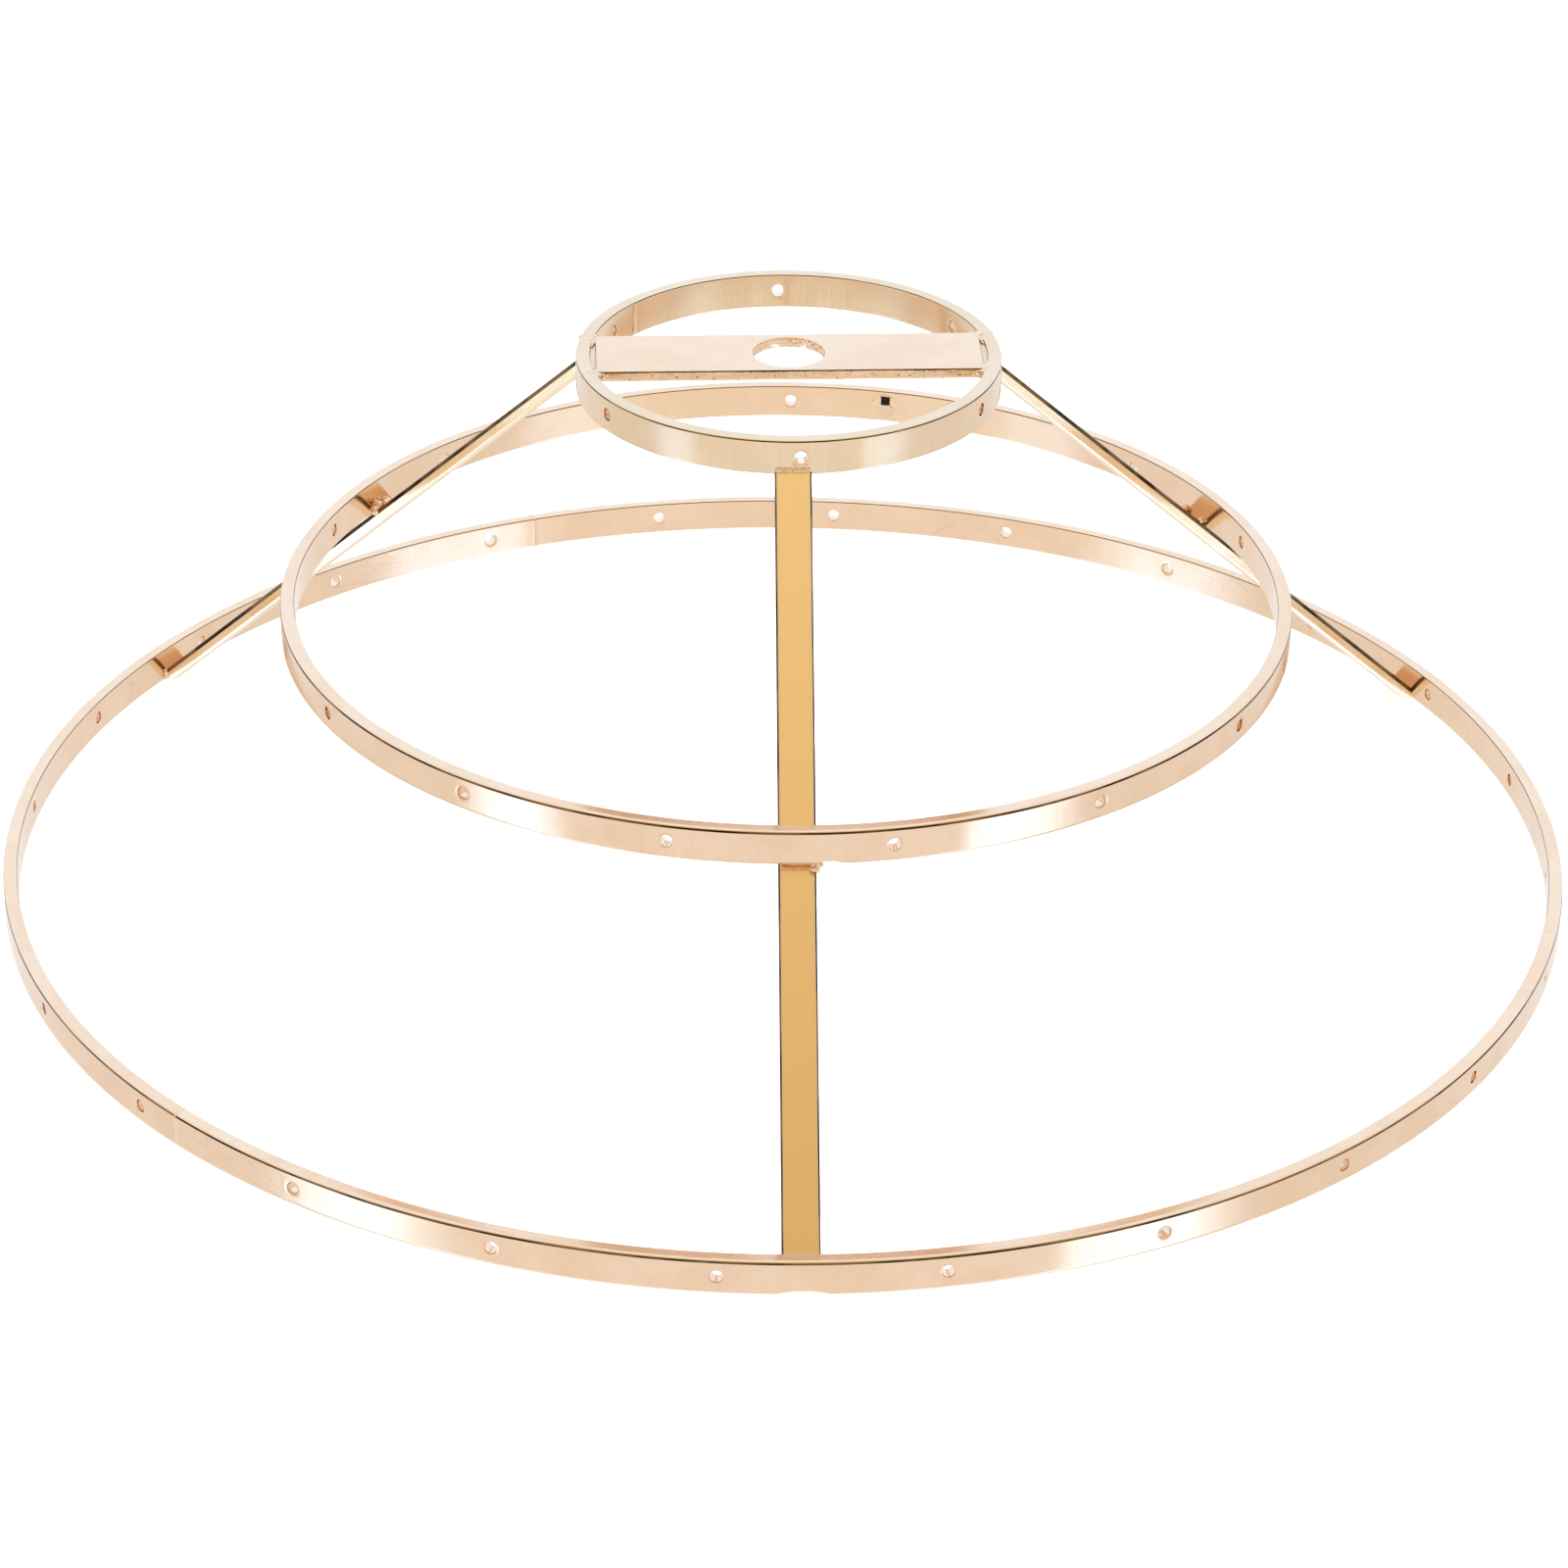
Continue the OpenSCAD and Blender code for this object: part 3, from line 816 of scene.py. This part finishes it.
class FillJoints(bpy.types.Operator):
    """Fill the butt joints of the rings with weld metal"""

    bl_idname = "ring_frame.fill_joints"
    bl_label = "Fill Butt Joints"

    def execute(self, context):
        sizes, colours = context.scene.ring_frame_sizes, context.scene.ring_frame_colours
        for number, (name, (ring, direction)) in enumerate(JOINTS.items()):
            radius = ring_radius(sizes, ring)
            bm = self.joint(sizes, ring, radius, direction, number)
            if ring == "bottom":
                # A tick of weld left standing on the joint's upper outer edge
                top_z = lower_edge(ring) + sizes.bar_width
                tick = ((radius - 0.34 * MM, 0.0, top_z - 0.28 * MM, 0.36),
                        (radius - 0.7 * MM, 0.3 * MM, top_z - 0.2 * MM, 0.3))
                add_balls(bm, [(turned(direction, r, t, z), size * MM) for r, t, z, size in tick])
            if ring == "top":
                # Ragged drips down the joint's inner wall
                inner_r = radius - sizes.bar_thickness
                drips = []
                for k in range(12):
                    wander = noise.noise(Vector((k * 0.7, 5.0, 0.0)))
                    drips.append((turned(direction, inner_r - 0.02 * MM, wander * 0.35 * MM,
                                         lower_edge(ring) + (0.5 + 0.36 * k) * MM),
                                  (0.2 + 0.12 * abs(wander)) * MM))
                add_balls(bm, drips)
            piece = mesh_piece(name + "_weld", bm)
            store_place(piece, [v.co for v in piece.data.vertices])
            piece.data.materials.append(weld_plating(colours))
            piece.data.materials.append(pit_oxide())
            hand_over(piece, "weld_plating", name)
        return {"FINISHED"}

    def joint(self, sizes, ring, radius, direction, seed):
        """Weld metal in the gap between two bar ends, a little below the bars' faces."""
        bm = bmesh.new()
        height = lower_edge(ring)
        points, _ = bar_profile(sizes, outer_edge(sizes, ring))
        half, middle = sizes.bar_thickness / 2, sizes.bar_width / 2
        reach = sizes.joint_width / 2 + 0.12 * MM
        rings = []
        for k in range(9):
            share = k / 8 * 2 - 1
            loop = []
            for number, (y, z) in enumerate(points):
                rough = noise.noise(Vector((k * 0.9, number * 0.31, seed * 4.0)))
                inset = (0.02 + 0.12 * share * share + 0.03 * rough) * MM
                squeeze_y, squeeze_z = 1 - inset / half, 1 - inset / middle
                shift = 0.06 * MM * noise.noise(Vector((number * 0.35, seed * 2.0, 0.0)))
                a = math.radians(direction) + (share * reach + shift) / radius
                r = radius - half + y * squeeze_y
                loop.append(bm.verts.new((
                    r * math.cos(a), r * math.sin(a), height + middle + (z - middle) * squeeze_z)))
            rings.append(loop)
        strip(bm, rings)
        bm.faces.new(rings[0])
        bm.faces.new(rings[-1])
        if ring == "middle":
            self.plug(bm, radius - sizes.bar_thickness, direction, height + middle)
        return bm

    def plug(self, bm, wall_r, direction, height):
        """A round plug over the joint on the ring's inner wall, with a square dark pit near its top."""
        count, turns = 64, 24
        # In millimetres: the plug's radius, then the middle of its pit and half the pit's width
        outside, pit_t, pit_z, pit_half = 2.1, -0.2, 0.95, 0.72
        loops = []
        for k in range(turns + 1):
            radius = outside * (1 - k / (turns + 1)) if k else outside
            loop = []
            for n in range(count):
                a = 2 * math.pi * n / count
                t, z = radius * math.cos(a), radius * math.sin(a)
                proud = -0.1 if k == 0 else 0.06 + 0.10 * (1 - (radius / outside) ** 2)
                near = ((abs(t - pit_t) / pit_half) ** 4 + (abs(z - pit_z) / pit_half) ** 4) ** 0.25
                deep = 0.04 / (1 + math.exp((near - 1) * 18))
                spot = turned(direction, wall_r - (proud - deep) * MM, t * MM, height + z * MM)
                loop.append(bm.verts.new(spot))
            loops.append(loop)
        first = len(bm.faces)
        strip(bm, loops)
        bm.faces.new(loops[0])
        bm.faces.new(loops[-1])
        bm.faces.ensure_lookup_table()
        for face in bm.faces[first:]:
            centre = face.calc_center_median()
            a = math.radians(direction)
            across = (centre.y * math.cos(a) - centre.x * math.sin(a)) / MM
            rise = (centre.z - height) / MM
            reach = max(abs(across - pit_t), abs(rise - pit_z))
            if reach < pit_half - 0.02 and len(face.verts) == 4:
                face.material_index = 1


class LayArms(bpy.types.Operator):
    """Lay the three sloping arms between the top and bottom rings"""

    bl_idname = "ring_frame.lay_arms"
    bl_label = "Lay Arms"

    def execute(self, context):
        sizes, colours = context.scene.ring_frame_sizes, context.scene.ring_frame_colours
        for side, direction in ARM_DIRECTIONS.items():
            piece = self.arm("arm_" + side + "_bar", sizes, direction)
            piece.data.materials.append(satin_plating(colours))
            # The narrow sides are painted paler as a highlight, and the rounded edges carry a painted dark
            # reflection line
            piece.data.materials.append(painted_side_highlight())
            piece.data.materials.append(painted_edge_reflection())
            hand_over(piece, "arm_plating", "arm_" + side)
        return {"FINISHED"}

    def arm(self, name, sizes, direction):
        section = rounded_section(sizes.bar_width, sizes.bar_thickness, ARM_EDGE)
        head_r, head_z, foot_r, slope = arm_line(sizes)
        columns = 48
        bm = bmesh.new()
        edge_face = []
        places = {}
        loops = [[] for _ in range(columns + 1)]
        for t, d, flag in section:
            edge_face.append(flag)
            start = (math.sqrt(head_r ** 2 - t ** 2) - head_r + d * math.sin(slope)) / math.cos(slope)
            to_wall = (math.sqrt(foot_r ** 2 - t ** 2) - head_r + d * math.sin(slope)) / math.cos(slope)
            to_floor = (head_z - d * math.cos(slope)) / math.sin(slope)
            stop = min(to_wall, to_floor)
            for k in range(columns + 1):
                run = start + (stop - start) * k / columns
                x = head_r + run * math.cos(slope) - d * math.sin(slope)
                z = head_z - run * math.sin(slope) - d * math.cos(slope)
                vertex = bm.verts.new(turned(direction, x, t, z))
                places[vertex] = (run, d, t)
                loops[k].append(vertex)
        count = len(section)
        for a, b in zip(loops, loops[1:]):
            for k in range(count):
                n = (k + 1) % count
                face = bm.faces.new((a[k], a[n], b[n], b[k]))
                face.material_index = min(edge_face[k], edge_face[n])
        for loop in (loops[0], loops[-1]):
            bmesh.ops.triangulate(bm, faces=[bm.faces.new(loop)])
        order = [places[v] for v in bm.verts]
        piece = mesh_piece(name, bm)
        store_place(piece, order)
        mark_sharp(piece, 40)
        return piece


def arm_line(sizes):
    """Radius and height of an arm's upper face at its head, its foot's radius, and its slope."""
    top_z = lower_edge("top")
    head_r, head_z = sizes.top_d / 2, top_z + ARM_LAP
    foot_r, foot_h = sizes.bottom_d / 2 - sizes.bar_thickness, ARM_FOOT
    return head_r, head_z, foot_r, math.atan((head_z - foot_h) / (foot_r - head_r))


def mark_sharp(piece, degrees):
    """Keeps edges turned by more than this crisp."""
    bm = bmesh.new()
    bm.from_mesh(piece.data)
    for edge in bm.edges:
        if len(edge.link_faces) == 2 and edge.calc_face_angle() > math.radians(degrees):
            edge.smooth = False
    bm.to_mesh(piece.data)
    bm.free()


class FitStrap(bpy.types.Operator):
    """Fit the drilled strap across the top ring"""

    bl_idname = "ring_frame.fit_strap"
    bl_label = "Fit Strap"

    def execute(self, context):
        sizes, colours = context.scene.ring_frame_sizes, context.scene.ring_frame_colours
        piece = self.strap("cross_strap_plate", sizes)
        piece.data.materials.append(flat_plating(colours))
        piece.data.materials.append(sheared_plating(colours))
        # Painted dark reflection line along the strap's upper rounding
        piece.data.materials.append(painted_edge_reflection())
        hand_over(piece, "strap_plating", "cross_strap")
        return {"FINISHED"}

    def strap(self, name, sizes):
        inner_r = sizes.top_d / 2 - sizes.bar_thickness
        width, thickness = STRAP_WIDTH, STRAP_THICKNESS
        length = 2 * (math.sqrt(inner_r ** 2 - (width / 2) ** 2) - 0.05 * MM)
        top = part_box("cross_strap")[1].z
        bm = bmesh.new()
        corner = 0.3 * MM

        def outline(inset, depth, rough):
            """A loop round the strap's sides."""
            hx, hy = length / 2 - inset, width / 2 - inset
            found = []
            for cx, cy, start in ((hx - corner, -hy + corner, 270), (hx - corner, hy - corner, 0),
                                  (-hx + corner, hy - corner, 90), (-hx + corner, -hy + corner, 180)):
                for k in range(4):
                    a = math.radians(start + 30 * k)
                    found.append((cx + corner * math.cos(a), cy + corner * math.sin(a)))
                run = (2 * hy if start in (270, 90) else 2 * hx) - 2 * corner
                last = found[-1]
                way = {270: (0, 1), 0: (-1, 0), 90: (0, -1), 180: (1, 0)}[start]
                pieces = int(round((width if start in (270, 90) else length) / (0.45 * MM)))
                for k in range(1, pieces):
                    found.append((last[0] + way[0] * run * k / pieces, last[1] + way[1] * run * k / pieces))
            loop = []
            for x, y in found:
                ragged = rough * noise.noise(Vector((x / MM * 1.1, y / MM * 1.1, depth / MM * 2.2)))
                loop.append(bm.verts.new((
                    x * (1 - ragged / length), y * (1 - 2 * ragged / width), top - depth)))
            return loop

        # Levels down the sheared sides: how far in, how deep and how ragged
        ease = 0.22 * MM
        levels = [
            (0.55 * MM, 0.0, 0.0), (ease, 0.0, 0.0), (ease * 0.45, ease * 0.12, 0.02 * MM),
            (ease * 0.12, ease * 0.45, 0.04 * MM), (0.0, ease, 0.10 * MM), (0.02 * MM, 0.6 * MM, 0.12 * MM),
            (0.05 * MM, 1.0 * MM, 0.14 * MM), (0.04 * MM, thickness - 0.12 * MM, 0.10 * MM),
            (0.14 * MM, thickness, 0.02 * MM), (0.55 * MM, thickness, 0.0)]
        loops = [outline(*level) for level in levels]
        strip(bm, loops)
        side_faces = len(bm.faces)
        count, hole_r = 96, sizes.nipple_d / 2
        rims = []
        for wider, depth in (
            (0.5 * MM, 0), (0.12 * MM, 0), (0.03 * MM, 0.03 * MM), (0, 0.12 * MM), (0, 0.5 * thickness),
            (0, thickness - 0.1 * MM), (0.1 * MM, thickness), (0.5 * MM, thickness),
        ):
            radius = hole_r + wider
            rims.append([bm.verts.new((
                radius * math.cos(2 * math.pi * k / count), radius * math.sin(2 * math.pi * k / count),
                top - depth)) for k in range(count)])
        strip(bm, rims)
        bm.faces.ensure_lookup_table()
        # Finish of each row of faces, down the sides and then through the hole; the rows over the upper
        # rounding carry the painted dark reflection line
        side_rows = (WIDE, WIDE, PAINTED_LINE, PAINTED_LINE, SIDE, SIDE, SIDE, SIDE, WIDE)
        hole_rows = (WIDE, WIDE, SIDE, SIDE, SIDE, WIDE, WIDE)
        for number, face in enumerate(bm.faces):
            if number < side_faces:
                face.material_index = side_rows[number // len(loops[0])]
            else:
                face.material_index = hole_rows[(number - side_faces) // count]
        for outer, inner in ((loops[0], rims[0]), (loops[-1], rims[-1])):
            edges = []
            for loop in (outer, inner):
                for k, vertex in enumerate(loop):
                    edges.append(bm.edges.get((vertex, loop[(k + 1) % len(loop)])))
            bmesh.ops.triangle_fill(bm, use_beauty=True, edges=edges)
        places = [(v.co.x, v.co.z, v.co.y) for v in bm.verts]
        spin = Matrix.Rotation(math.radians(STRAP_DIRECTION), 3, "Z")
        bmesh.ops.rotate(bm, verts=bm.verts, cent=(0, 0, 0), matrix=spin)
        piece = mesh_piece(name, bm)
        store_place(piece, places)
        return piece


class LayWelds(bpy.types.Operator):
    """Lay the weld beads at the arms and the strap"""

    bl_idname = "ring_frame.lay_welds"
    bl_label = "Lay Welds"

    def execute(self, context):
        sizes, colours = context.scene.ring_frame_sizes, context.scene.ring_frame_colours
        head_r, head_z, foot_r, _ = arm_line(sizes)
        half = sizes.bar_width / 2
        middle_r = sizes.middle_d / 2 - sizes.bar_thickness / 2
        middle_z = lower_edge("middle")
        ooze = ((0.3, half / MM - 0.1, -0.15, 0.62), (0.8, half / MM - 0.55, -0.55, 0.4),
                (0.75, half / MM + 0.05, -0.75, 0.45), (0.4, half / MM + 0.5, -0.2, 0.38))
        made = {}
        for number, (side, direction) in enumerate(ARM_DIRECTIONS.items()):
            seed = number + 1.0
            start = turned(direction, head_r - 0.1 * MM, -half + 0.5 * MM, head_z + 0.05 * MM)
            end = turned(direction, head_r - 0.1 * MM, half - 0.5 * MM, head_z + 0.05 * MM)
            made["top_weld_" + side] = bead(start, end, 0.45 * MM, 14, seed)
            start = turned(direction, middle_r + 0.2 * MM, -half + 0.5 * MM, middle_z + 0.3 * MM)
            end = turned(direction, middle_r + 0.2 * MM, half - 0.3 * MM, middle_z + 0.25 * MM)
            made["middle_weld_" + side] = bead(start, end, 0.62 * MM, 14, seed + 3)
            made["middle_weld_" + side] += blobs(direction, middle_r, middle_z, ooze + MIDDLE_LUMPS[side])
            low = turned(direction, foot_r - 0.1 * MM, half + 0.1 * MM, 0.45 * MM)
            high = turned(direction, foot_r - 0.1 * MM, half + 0.05 * MM, 1.2 * MM)
            made["foot_weld_" + side] = bead(low, high, 0.55 * MM, 5, seed + 6)
        made["top_weld_front"] += blobs(DRIBBLE_DIRECTION, head_r, head_z, [
            (0.02, across, up - 0.05, 0.17) for across, up in DRIBBLES])
        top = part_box("cross_strap")[1].z
        inner_r = sizes.top_d / 2 - sizes.bar_thickness
        half_width = STRAP_WIDTH / 2
        half_length = math.sqrt(inner_r ** 2 - half_width ** 2)
        corners = {
            "back_right": (1, 1), "back_left": (-1, 1), "front_left": (-1, -1), "front_right": (1, -1)}
        for corner, (sx, sy) in corners.items():
            balls = []
            for dx, dy, dz, size, flat in CORNER_LUMPS:
                x, y = sx * (half_length + dx * MM), sy * (half_width + dy * MM)
                balls.append((turned(STRAP_DIRECTION, x, y, top + dz * MM), size * MM, flat))
            made["strap_weld_" + corner] = balls
        for number, (name, balls) in enumerate(made.items()):
            piece = lumps(name + "_bead", balls, number + 2.0)
            piece.data.materials.append(weld_plating(colours))
            hand_over(piece, "weld_plating", name)
        return {"FINISHED"}


# ---------------------------------------------------------------- stage


class SetStage(bpy.types.Operator):
    """Set out the floor, the studio light and the camera"""

    bl_idname = "ring_frame.set_stage"
    bl_label = "Set Stage"

    def execute(self, context):
        colours = context.scene.ring_frame_colours
        context.scene.view_settings.view_transform = "Standard"
        self.floor(colours)
        self.camera(context)
        self.studio(context)
        self.lamp()
        return {"FINISHED"}

    def floor(self, colours):
        bm = bmesh.new()
        bmesh.ops.create_grid(bm, x_segments=8, y_segments=8, size=6.0)
        bmesh.ops.translate(bm, verts=bm.verts, vec=(0, 0, CAD_BOX[0].z - 0.02 * MM))
        floor = mesh_piece("floor", bm, smooth=False)
        material = bpy.data.materials.new("matt_white_floor")
        material.use_nodes = True
        tree = material.node_tree
        tree.nodes.clear()
        cloud = add(tree, "ShaderNodeTexNoise", {
            "Vector": add(tree, "ShaderNodeTexCoord").outputs["Object"], "Scale": 3.0, "Detail": 2.0})
        colour = add(tree, "ShaderNodeMix", {
            0: cloud, 6: colours.floor, 7: dimmed(colours.floor, 0.98)}, data_type="RGBA").outputs[2]
        shader = add(tree, "ShaderNodeBsdfPrincipled", {
            "Base Color": colour, "Roughness": 0.9, "Specular IOR Level": 0.0,
            # Lit from below as well, so that the frame casts hardly any shadow
            "Emission Color": colours.floor, "Emission Strength": 0.62})
        add(tree, "ShaderNodeOutputMaterial", {"Surface": shader})
        floor.data.materials.append(material)
        # The plating mirrors the studio, whose lower half stands for the lit floor
        floor.visible_glossy = False

    def camera(self, context):
        camera = bpy.data.cameras.new("camera")
        camera.sensor_width = 36.0
        camera.lens = 112.07
        camera.clip_start, camera.clip_end = 0.01, 50.0
        place = Vector((0.0, -0.6208, 0.3510))
        pitch, roll = 0.4999, 0.0111
        ahead = Vector((0, math.cos(pitch), -math.sin(pitch)))
        right = Vector((1, 0, 0))
        up = right.cross(ahead)
        across = math.cos(roll) * right + math.sin(roll) * up
        above = -math.sin(roll) * right + math.cos(roll) * up
        holder = bpy.data.objects.new("camera", camera)
        holder.matrix_world = Matrix((
            (across.x, above.x, -ahead.x, place.x), (across.y, above.y, -ahead.y, place.y),
            (across.z, above.z, -ahead.z, place.z), (0, 0, 0, 1)))
        context.scene.collection.objects.link(holder)
        context.scene.camera = holder

    def studio(self, context):
        """A white studio, warm and dimmer above the front, with two bright panels low at the front."""
        world = bpy.data.worlds.new("white_studio")
        context.scene.world = world
        world.use_nodes = True
        tree = world.node_tree
        tree.nodes.clear()
        way = add(tree, "ShaderNodeSeparateXYZ", {0: add(tree, "ShaderNodeTexCoord").outputs["Generated"]})
        height = add(tree, "ShaderNodeMath", {
            0: add(tree, "ShaderNodeMath", {0: way.outputs[2]}, operation="ARCSINE")}, operation="DEGREES")
        turn = add(tree, "ShaderNodeMath", {
            0: add(tree, "ShaderNodeMath", {
                0: way.outputs[0],
                1: add(tree, "ShaderNodeMath", {0: way.outputs[1], 1: -1.0}, operation="MULTIPLY")},
                operation="ARCTAN2")}, operation="DEGREES")
        aside = add(tree, "ShaderNodeMath", {0: turn}, operation="ABSOLUTE")
        share = add(tree, "ShaderNodeMapRange", {0: height, 1: -90.0, 2: 90.0})

        def ramp(stops):
            return fill_ramp(add(tree, "ShaderNodeValToRGB", {0: share}),
                             [((degrees + 90) / 180, (*colour, 1.0)) for degrees, colour in stops])

        front = ramp((
            (-90, (0.97, 0.97, 0.97)), (-40, (1.03, 1.03, 1.03)), (-27, (1.03, 1.03, 1.03)),
            (-24.8, (1.0, 1.0, 0.99)), (-23, (1.12, 1.11, 1.02)), (-20, (1.12, 1.06, 0.90)),
            (-12, (1.05, 0.98, 0.84)), (0, (0.90, 0.82, 0.68)), (15, (0.80, 0.72, 0.60)),
            (45, (0.72, 0.62, 0.46)), (55, (0.72, 0.58, 0.32)), (60, (0.78, 0.62, 0.31)),
            (70, (1.12, 0.97, 0.51)), (79, (1.14, 1.10, 0.97)), (90, (1.1, 1.2, 1.3))))
        side = ramp((
            (-90, (0.98, 0.98, 0.98)), (-26, (0.98, 0.98, 0.98)), (-10, (1.0, 0.96, 0.88)),
            (5, (0.90, 0.85, 0.75)), (30, (1.0, 1.0, 0.97)), (60, (1.1, 1.15, 1.2)), (90, (1.1, 1.2, 1.3))))
        back = ramp((
            (-90, (0.97, 0.97, 0.97)), (-24, (0.98, 0.98, 0.98)), (-10, (1.08, 1.15, 1.25)),
            (5, (1.10, 1.22, 1.38)), (25, (1.10, 1.25, 1.44)), (90, (1.1, 1.2, 1.3))))
        soft = {"interpolation_type": "SMOOTHSTEP"}
        to_side = add(tree, "ShaderNodeMapRange", {0: aside, 1: 48.0, 2: 75.0}, **soft)
        to_back = add(tree, "ShaderNodeMapRange", {0: aside, 1: 98.0, 2: 110.0}, **soft)
        walls = add(tree, "ShaderNodeMix", {
            0: to_back,
            6: add(tree, "ShaderNodeMix", {0: to_side, 6: front, 7: side}, data_type="RGBA").outputs[2],
            7: back}, data_type="RGBA").outputs[2]
        # The two panels, each between two directions and with soft edges
        low = add(tree, "ShaderNodeMapRange", {0: height, 1: -23.5, 2: -27.0}, **soft)
        panels = []
        for near, near_soft, far, far_soft in ((41.0, 42.5, 58.0, 74.0), (-46.0, -60.0, -68.0, -80.0)):
            opened = add(tree, "ShaderNodeMapRange", {0: turn, 1: near, 2: near_soft}, **soft)
            shut = add(tree, "ShaderNodeMapRange", {0: turn, 1: far_soft, 2: far}, **soft)
            panels.append(add(tree, "ShaderNodeMath", {0: opened, 1: shut}, operation="MULTIPLY"))
        panel = add(tree, "ShaderNodeMath", {
            0: add(tree, "ShaderNodeMath", {0: panels[0], 1: panels[1]}, operation="ADD"), 1: low},
            operation="MULTIPLY")
        lit = add(tree, "ShaderNodeMix", {
            0: panel, 6: walls, 7: (1.45, 1.88, 2.45, 1.0)}, data_type="RGBA").outputs[2]
        seen = add(tree, "ShaderNodeMix", {
            0: add(tree, "ShaderNodeLightPath").outputs["Is Camera Ray"], 6: lit, 7: (1.0, 1.0, 1.0, 1.0)},
            data_type="RGBA").outputs[2]
        shader = add(tree, "ShaderNodeBackground", {"Color": seen})
        add(tree, "ShaderNodeOutputWorld", {"Surface": shader})

    def lamp(self):
        """One wide soft lamp overhead that whitens the floor."""
        light = bpy.data.lights.new("overhead_softbox", "AREA")
        light.shape = "DISK"
        light.size = 3.0
        light.energy = 60.0
        holder = bpy.data.objects.new("overhead_softbox", light)
        holder.location = (0.0, 0.0, 2.4)
        holder.visible_glossy = False
        bpy.context.scene.collection.objects.link(holder)


class RingFramePanel(bpy.types.Panel):
    """Everything that makes the ring frame"""

    bl_idname = "VIEW3D_PT_ring_frame"
    bl_label = "Ring Frame"
    bl_space_type = "VIEW_3D"
    bl_region_type = "UI"
    bl_category = "Ring Frame"

    def draw(self, context):
        for group in (context.scene.ring_frame_sizes, context.scene.ring_frame_colours):
            column = self.layout.column(align=True)
            for name in group.bl_rna.properties.keys():
                if name not in ("rna_type", "name"):
                    column.prop(group, name)
        for operator in OPERATORS:
            self.layout.operator(operator.bl_idname)


OPERATORS = (SetStage, RollRings, FillJoints, LayArms, FitStrap, LayWelds)
CLASSES = (RingFrameSizes, RingFrameColours, *OPERATORS, RingFramePanel)


def register():
    for item in CLASSES:
        bpy.utils.register_class(item)
    bpy.types.Scene.ring_frame_sizes = bpy.props.PointerProperty(type=RingFrameSizes)
    bpy.types.Scene.ring_frame_colours = bpy.props.PointerProperty(type=RingFrameColours)


def unregister():
    del bpy.types.Scene.ring_frame_colours
    del bpy.types.Scene.ring_frame_sizes
    for item in reversed(CLASSES):
        bpy.utils.unregister_class(item)


def main():
    register()
    bpy.ops.ring_frame.set_stage()
    bpy.ops.ring_frame.roll_rings()
    bpy.ops.ring_frame.fill_joints()
    bpy.ops.ring_frame.lay_arms()
    bpy.ops.ring_frame.fit_strap()
    bpy.ops.ring_frame.lay_welds()


if __name__ == "__main__":
    main()
